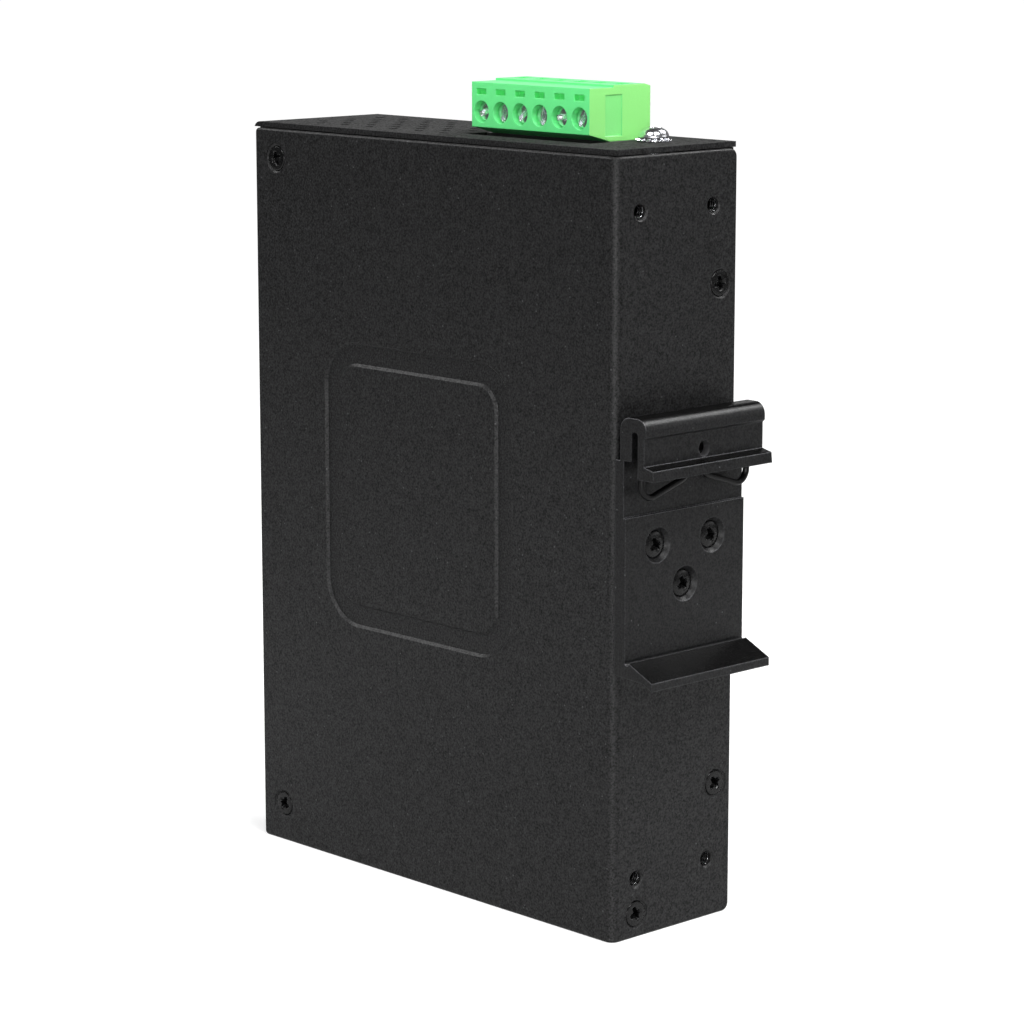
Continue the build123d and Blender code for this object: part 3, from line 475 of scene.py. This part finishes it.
# %% [markdown]
# ## The plug's end walls
# The two end walls of the green plug look paler and yellower than the rest,
# as thin plastic does where light comes through it. That light is painted in
# as a paler colour. The mask for them is the distance from the plug's middle,
# times how squarely a face looks along it.

# %% Plug ends
plug_middle = 19.2
end_walls_start = 14.7
end_wall_glow_green = (0.44, 0.93, 0.22)
glances_at_end = 0.6
faces_end = 1.0


def beyond(tree, value, middle, low, high):
    """0 to 1 as a value's distance from a middle goes from low to high."""
    shift = node(tree, "ShaderNodeMath", operation="SUBTRACT")
    size = node(tree, "ShaderNodeMath", operation="ABSOLUTE")
    amount = node(tree, "ShaderNodeMapRange", interpolation_type="SMOOTHSTEP")
    shift.inputs[1].default_value = middle
    amount.inputs["From Min"].default_value = low
    amount.inputs["From Max"].default_value = high
    link(tree, value, shift.inputs[0])
    link(tree, shift.outputs[0], size.inputs[0])
    link(tree, size.outputs[0], amount.inputs["Value"])
    return amount.outputs[0]


def plug_ends(material, rgb, middle, reach):
    """Paints the light through the plug's two end walls in, as another colour mixed into them."""
    tree = material.node_tree
    shader = tree.nodes["Principled BSDF"]
    body = shader.inputs["Base Color"].links[0].from_socket
    face = node(tree, "ShaderNodeNewGeometry")
    place = node(tree, "ShaderNodeSeparateXYZ")
    facing_end = node(tree, "ShaderNodeSeparateXYZ")
    amount = node(tree, "ShaderNodeMath", operation="MULTIPLY")
    link(tree, face.outputs["Position"], place.inputs[0])
    link(tree, face.outputs["Normal"], facing_end.inputs[0])
    far_out = beyond(tree, place.outputs["Y"], middle, reach, reach + millimetre)
    end_on = beyond(tree, facing_end.outputs["Y"], 0.0, glances_at_end, faces_end)
    link(tree, far_out, amount.inputs[0])
    link(tree, end_on, amount.inputs[1])
    link(tree, mixed(tree, amount.outputs[0], body, rgb), shader.inputs["Base Color"])


# %% [markdown]
# ## Materials
# One finish for each material slot of the record. The colours are dark on
# purpose: the black of the case is nearly all reflection, grain and painted
# edge highlights.

# %% Materials
finishes = {
    "powder_coat": finish(
        "powder_coat", (0.0011, 0.0011, 0.00115), (0.38, 0.52), specular=0.04,
        grain_scale=2700.0, grain_lift=0.05, grain_tone=13.0, tone=0.12, edge_radius=0.20,
        edge_light=26.0, speck_share=0.18, speck_light=95.0,
        top_painted_rgb=(0.046, 0.046, 0.046), top_roughness=0.85, beads=(0.27, 0.77), bead_roughness=0.46,
    ),
    "overlay_film": finish(
        "overlay_film", (0.020, 0.021, 0.023), (0.30, 0.36), grain_scale=6000.0, grain_lift=0.006,
    ),
    "black_screw": finish(
        "black_screw", (0.0016, 0.0016, 0.0018), (0.22, 0.32), specular=0.34, grain_scale=2500.0,
        grain_lift=0.008, edge_radius=0.08, edge_light=8.0,
    ),
    "black_anodised": finish(
        "black_anodised", (0.0014, 0.0014, 0.0015), (0.34, 0.48), specular=0.04,
        grain_scale=2700.0, grain_lift=0.03, grain_tone=7.0, edge_radius=0.36, edge_light=130.0,
        speck_share=0.12, speck_light=85.0, top_painted_rgb=(0.0016, 0.0016, 0.0016), top_roughness=0.25,
        beads=(0.40, 0.63), bead_roughness=0.42,
    ),
    "spring_wire": finish(
        "spring_wire", (0.0015, 0.0015, 0.0017), (0.30, 0.40), specular=0.24, grain_lift=0.01,
    ),
    "plated_steel": finish(
        "plated_steel", (0.80, 0.81, 0.84), (0.14, 0.26), metallic=1.0, grain_scale=3500.0,
        grain_lift=0.012, edge_light=1.1,
    ),
    "green_plastic": finish(
        "green_plastic", (0.15, 0.88, 0.275), (0.34, 0.46), grain_scale=2200.0, grain_lift=0.01,
        tone=0.03, edge_radius=0.22, edge_light=1.25,
    ),
    "black_plastic": finish(
        "black_plastic", (0.018, 0.018, 0.018), (0.36, 0.48), grain_scale=2200.0, grain_lift=0.01,
    ),
    "tinned_brass": finish(
        "tinned_brass", (0.78, 0.77, 0.74), (0.18, 0.30), metallic=1.0, grain_lift=0.01,
        edge_light=1.1,
    ),
    "jack_steel": finish(
        "jack_steel", (0.72, 0.72, 0.72), (0.20, 0.32), metallic=1.0, grain_scale=1800.0,
        grain_lift=0.01, edge_light=1.2,
    ),
    "gold_contact": finish(
        "gold_contact", (0.86, 0.62, 0.25), (0.16, 0.24), metallic=1.0, edge_light=1.1,
    ),
    "lamp_plastic": finish(
        "lamp_plastic", (0.62, 0.70, 0.60), (0.12, 0.18), grain_lift=0.004, coat=0.4,
    ),
    "board_laminate": finish(
        "board_laminate", (0.022, 0.16, 0.065), (0.26, 0.34), grain_scale=900.0, grain_lift=0.01,
        tone=0.12,
    ),
    "chip_resin": finish("chip_resin", (0.020, 0.020, 0.021), (0.42, 0.54), grain_lift=0.015),
    "pad_silicone": finish("pad_silicone", (0.40, 0.44, 0.50), (0.60, 0.72), grain_lift=0.01),
    "sink_aluminium": finish(
        "sink_aluminium", (0.32, 0.32, 0.33), (0.40, 0.52), metallic=1.0, grain_lift=0.01,
        edge_light=1.4,
    ),
    "capacitor_can": finish(
        "capacitor_can", (0.68, 0.69, 0.70), (0.46, 0.60), metallic=1.0, grain_lift=0.006,
    ),
    "ferrite": finish("ferrite", (0.055, 0.055, 0.06), (0.48, 0.62), grain_lift=0.02, tone=0.12),
    "copper_winding": finish(
        "copper_winding", (0.72, 0.34, 0.14), (0.26, 0.38), metallic=0.9, grain_lift=0.02,
    ),
    "ceramic": finish("ceramic", (0.52, 0.40, 0.27), (0.38, 0.50), grain_lift=0.01, tone=0.10),
}
plug_ends(
    finishes["green_plastic"], end_wall_glow_green, plug_middle * millimetre, end_walls_start * millimetre
)
print("finishes:", len(finishes))


# %% [markdown]
# ## Dress the CAD pieces
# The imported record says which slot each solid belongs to, so one loop puts
# every finish in place. The object's own material slots are filled, and its
# mesh stays untouched.

# %% Dress the nodes
for part in frame["record"]["subparts"]:
    piece = nodes[part["node"]]
    while len(piece.material_slots) < 1:
        piece.data.materials.append(None)
    for place in piece.material_slots:
        place.material = finishes[part["material_slot"]]

# %% [markdown]
# ## Screws
# A cross-head screw is a turned part with a tapered cross pressed into it. The
# head's top is a fine round grid whose points sink where the cross is, which
# gives steep walls that glint without any cutting. The rest of the outline is
# turned in the same go, so each screw is one closed skin.

# %% Turned shapes
head_segments = 96
head_rings = 30
recess_wall = 0.14
cross_taper = 0.35
cross_ramp = 0.8
sharp_angle = 38


def smooth(value):
    """A soft step from 0 to 1."""
    value = min(1.0, max(0.0, value))
    return value * value * (3 - 2 * value)


def drive_sink(x, y, drive):
    """How far the head sinks at a point, for a cross (three sizes) or a slot (two); millimetres."""
    if len(drive) == 2:
        half_width, depth = drive
        return depth * (1 - smooth((abs(y) - half_width) / recess_wall + 0.5))
    reach, half_width, depth = drive
    deepest = 0.0
    for along, across in ((abs(x), abs(y)), (abs(y), abs(x))):
        narrow = half_width * (1 - cross_taper * along / reach)
        wall = 1 - smooth((across - narrow) / recess_wall + 0.5)
        floor_rise = smooth((reach - along) / (cross_ramp * reach))
        deepest = max(deepest, wall * floor_rise)
    return depth * deepest


def height_at(outline, radius):
    """The height of an outline of (radius, height) points at a radius."""
    for (r0, h0), (r1, h1) in zip(outline, outline[1:]):
        if r0 <= radius <= r1:
            return h0 + (h1 - h0) * (radius - r0) / (r1 - r0)
    return outline[-1][1]


def add_turned(mesh, place, top, skirt, drive):
    """Turns a head and its skirt about a place's own Z axis; millimetres."""
    rings = []
    head_radius = top[-1][0]
    for step in range(1, head_rings + 1):
        radius = head_radius * step / head_rings
        rings.append((radius, height_at(top, radius), True))
    rings += [(radius, height, False) for radius, height in skirt]
    middle = height_at(top, 0.0) - drive_sink(0, 0, drive)
    centre = mesh.verts.new(place @ Vector((0, 0, middle * millimetre)))
    before = None
    for radius, height, on_top in rings:
        ring = []
        for i in range(head_segments):
            angle = math.tau * i / head_segments
            x, y = radius * math.cos(angle), radius * math.sin(angle)
            sink = drive_sink(x, y, drive) if on_top else 0.0
            ring.append(mesh.verts.new(place @ (Vector((x, y, height - sink)) * millimetre)))
        for i in range(head_segments):
            after = (i + 1) % head_segments
            if before is None:
                mesh.faces.new((centre, ring[i], ring[after]))
            else:
                mesh.faces.new((before[i], ring[i], ring[after], before[after]))
        before = ring
    mesh.faces.new(list(reversed(before)))


def finished_piece(name, mesh, slot_name, replaced=()):
    bmesh.ops.recalc_face_normals(mesh, faces=mesh.faces)
    data = bpy.data.meshes.new(name)
    mesh.to_mesh(data)
    mesh.free()
    data.shade_smooth()
    data.set_sharp_from_angle(angle=math.radians(sharp_angle))
    data.materials.append(finishes[slot_name])
    piece = bpy.data.objects.new(name, data)
    bpy.context.scene.collection.objects.link(piece)
    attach(piece, "root")
    if replaced:
        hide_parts(*replaced)
    print(name, "has", len(data.polygons), "faces")


def facing(axis, x, y, z, turn):
    """A place in millimetres whose Z axis lies along a world axis, turned by some degrees."""
    along_axis = Vector(axis).to_track_quat("Z", "Y").to_matrix().to_4x4()
    spin = Matrix.Rotation(math.radians(turn), 4, "Z")
    return Matrix.Translation(Vector((x, y, z)) * millimetre) @ along_axis @ spin


# %% Case and clip screws
to_side = (1, 0, 0)
to_rear = (0, 1, 0)
upward = (0, 0, 1)
side_face = 15.3
rear_face = 49.5
clip_face = 52.1
side_screw_y = -42.5
cross_shape = (1.55, 0.52, 1.5)

flat_top = [(0.0, -0.10), (1.7, -0.13), (2.16, -0.17), (2.30, -0.26)]
flat_skirt = [(2.34, -0.36), (2.30, -0.50), (1.5, -1.1), (1.5, -4.9), (1.2, -5.0)]
screws = bmesh.new()
for height, turn in ((7.5, 62), (135.2, 20)):
    screw_place = facing(to_side, side_face, side_screw_y, height, turn)
    add_turned(screws, screw_place, flat_top, flat_skirt, cross_shape)
finished_piece("side_case_screws", screws, "black_screw", ["side_screws"])

screws = bmesh.new()
for x, height, turn in ((-11.3, 25.0, 35), (-11.3, 117.0, 12), (9.1, 4.4, 22)):
    screw_place = facing(to_rear, x, rear_face, height, turn)
    add_turned(screws, screw_place, flat_top, flat_skirt, cross_shape)
finished_piece("rear_case_screws", screws, "black_screw", ["rear_screws"])

clip_top_outline = [(0.0, -0.34), (1.2, -0.40), (1.9, -0.54), (2.3, -0.68), (2.47, -0.80)]
clip_skirt = [(2.50, -0.90), (2.45, -1.0), (1.5, -2.2), (1.5, -5.5), (1.2, -5.6)]
screws = bmesh.new()
for x, height, turn in ((7.0, 72.3, 28), (-7.0, 72.3, 24), (0.0, 64.4, 26)):
    screw_place = facing(to_rear, x, clip_face, height, turn)
    add_turned(screws, screw_place, clip_top_outline, clip_skirt, cross_shape)
finished_piece("clip_fixing_screws", screws, "black_screw", ["rail_clip_screws"])

# %% Clamp screws of the plug
clamp_top = [(0.0, 0.0), (1.60, 0.0), (1.78, -0.06)]
clamp_skirt = [(1.85, -0.18), (1.85, -2.4), (1.25, -2.42), (1.25, -5.0), (1.0, -5.1)]
clamp_slot = (0.42, 0.85)
clamp_face = 5.85
clamp_height = 146.15
clamp_turns = (20, 64, 38, 75, 8, 50)
pole_pitch = 5.08
middle_pole = (len(clamp_turns) - 1) / 2
screws = bmesh.new()
for pole, turn in enumerate(clamp_turns):
    y = plug_middle + (pole - middle_pole) * pole_pitch
    screw_place = facing(to_side, clamp_face, y, clamp_height, turn)
    add_turned(screws, screw_place, clamp_top, clamp_skirt, clamp_slot)
finished_piece("plug_clamp_screws", screws, "plated_steel", ["clamp_screws"])

# %% [markdown]
# ## The hole in the hook
# The wall of the small hole in the clip's hook glints like bare metal. A
# short open band just inside the hole shows that, and leaves the clip's own
# mesh as it is.

# %% Bare metal in the hook's hole
hook_hole_height = 89.4
hole_outline = [(1.385, 6.96), (1.37, 6.0), (1.36, 5.55)]
lining = bmesh.new()
lining_place = facing(to_rear, 0.0, rear_face, hook_hole_height, 0)
before = None
for radius, height in hole_outline:
    ring = []
    for i in range(head_segments):
        angle = math.tau * i / head_segments
        point = Vector((radius * math.cos(angle), radius * math.sin(angle), height))
        ring.append(lining.verts.new(lining_place @ (point * millimetre)))
    if before:
        for i in range(head_segments):
            after = (i + 1) % head_segments
            lining.faces.new((before[i], ring[i], ring[after], before[after]))
    before = ring
finished_piece("hook_hole_lining", lining, "sink_aluminium")

# %% [markdown]
# ## Earth screw
# The earth screw is the one bright fastener on the black case. Its washer is
# a thin ring with teeth twisted out of its plane, so each tooth catches light
# by itself. The ring and the teeth are simple boxes and bands in one mesh.

# %% Earth screw and its toothed washer
earth_spot = (-4.0, 39.6)
screw_seat = 142.5
washer_middle = 142.25
earth_place = facing(upward, *earth_spot, screw_seat, 30)
pan_top = [(0.0, 2.1), (0.9, 2.06), (1.6, 1.92), (2.1, 1.66), (2.45, 1.28), (2.66, 0.85)]
pan_skirt = [(2.74, 0.5), (2.75, 0.1), (2.68, 0.0), (1.5, -0.01), (1.5, -5.9), (1.2, -6.0)]
screws = bmesh.new()
add_turned(screws, earth_place, pan_top, pan_skirt, cross_shape)
finished_piece("earth_pan_screw", screws, "plated_steel", ["earth_screw"])

tooth_count = 14
tooth_twist = math.radians(28)
ring_inner, ring_outer, tooth_tip = 1.6, 2.55, 3.2
tooth_half_width, washer_half_thickness = 0.42, 0.16
tooth_overlap = 0.2
tooth_tip_share = 0.7
box_faces = (
    (3, 2, 1, 0), (4, 5, 6, 7), (0, 1, 5, 4), (1, 2, 6, 5), (2, 3, 7, 6), (3, 0, 4, 7),
)
washer_place = facing(upward, *earth_spot, washer_middle, 0)
washer = bmesh.new()
rings = []
for radius, level in ((ring_inner, -1), (ring_outer, -1), (ring_outer, 1), (ring_inner, 1)):
    height = level * washer_half_thickness
    ring = []
    for i in range(head_segments):
        angle = math.tau * i / head_segments
        point = Vector((radius * math.cos(angle), radius * math.sin(angle), height))
        ring.append(washer.verts.new(washer_place @ (point * millimetre)))
    rings.append(ring)
for lower, upper in zip(rings, rings[1:] + rings[:1]):
    for i in range(head_segments):
        after = (i + 1) % head_segments
        washer.faces.new((lower[i], lower[after], upper[after], upper[i]))
for tooth in range(tooth_count):
    turn = Matrix.Rotation(math.tau * tooth / tooth_count, 4, "Z")
    twist = Matrix.Rotation(tooth_twist, 4, "X")
    corners = []
    for radius, width in ((ring_outer - tooth_overlap, 1.0), (tooth_tip, tooth_tip_share)):
        for side, level in ((-1, -1), (1, -1), (1, 1), (-1, 1)):
            local = Vector((0, side * tooth_half_width * width, level * washer_half_thickness))
            point = turn @ (twist @ local + Vector((radius, 0, 0)))
            corners.append(washer.verts.new(washer_place @ (point * millimetre)))
    for face in box_faces:
        washer.faces.new([corners[i] for i in face])
finished_piece("earth_star_washer", washer, "plated_steel", ["earth_washer"])

# %% [markdown]
# ## Threads
# The four wall holes are tapped, and the first turns of the thread catch light
# inside each hole. A thread is a helix, so each one is a curve with a thin
# round bevel that lies on the wall of its hole.

# %% Threads in the wall holes
thread_pitch = 0.5
thread_turns = 4
thread_steps = 24
thread_radius = 1.43
thread_ridge = 0.11
thread_start = 0.42
wall_hole_columns = (-9.2, 9.2)
wall_hole_heights = (10.95, 131.05)
threads =bpy.data.curves.new("wall_hole_threads", "CURVE")
threads.dimensions = "3D"
threads.bevel_depth = thread_ridge * millimetre
threads.bevel_resolution = 1
for x in wall_hole_columns:
    for z in wall_hole_heights:
        line = threads.splines.new("POLY")
        line.points.add(thread_turns * thread_steps)
        for i, point in enumerate(line.points):
            angle = math.tau * i / thread_steps
            depth = thread_start + thread_pitch * i / thread_steps
            place = Vector((
                x + thread_radius * math.cos(angle),
                rear_face - depth,
                z + thread_radius * math.sin(angle),
            ))
            point.co = (*(place * millimetre), 1.0)
threads.materials.append(finishes["black_screw"])
thread_piece = bpy.data.objects.new("wall_hole_threads", threads)
bpy.context.scene.collection.objects.link(thread_piece)
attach(thread_piece, "root")
print("thread splines:", len(threads.splines))
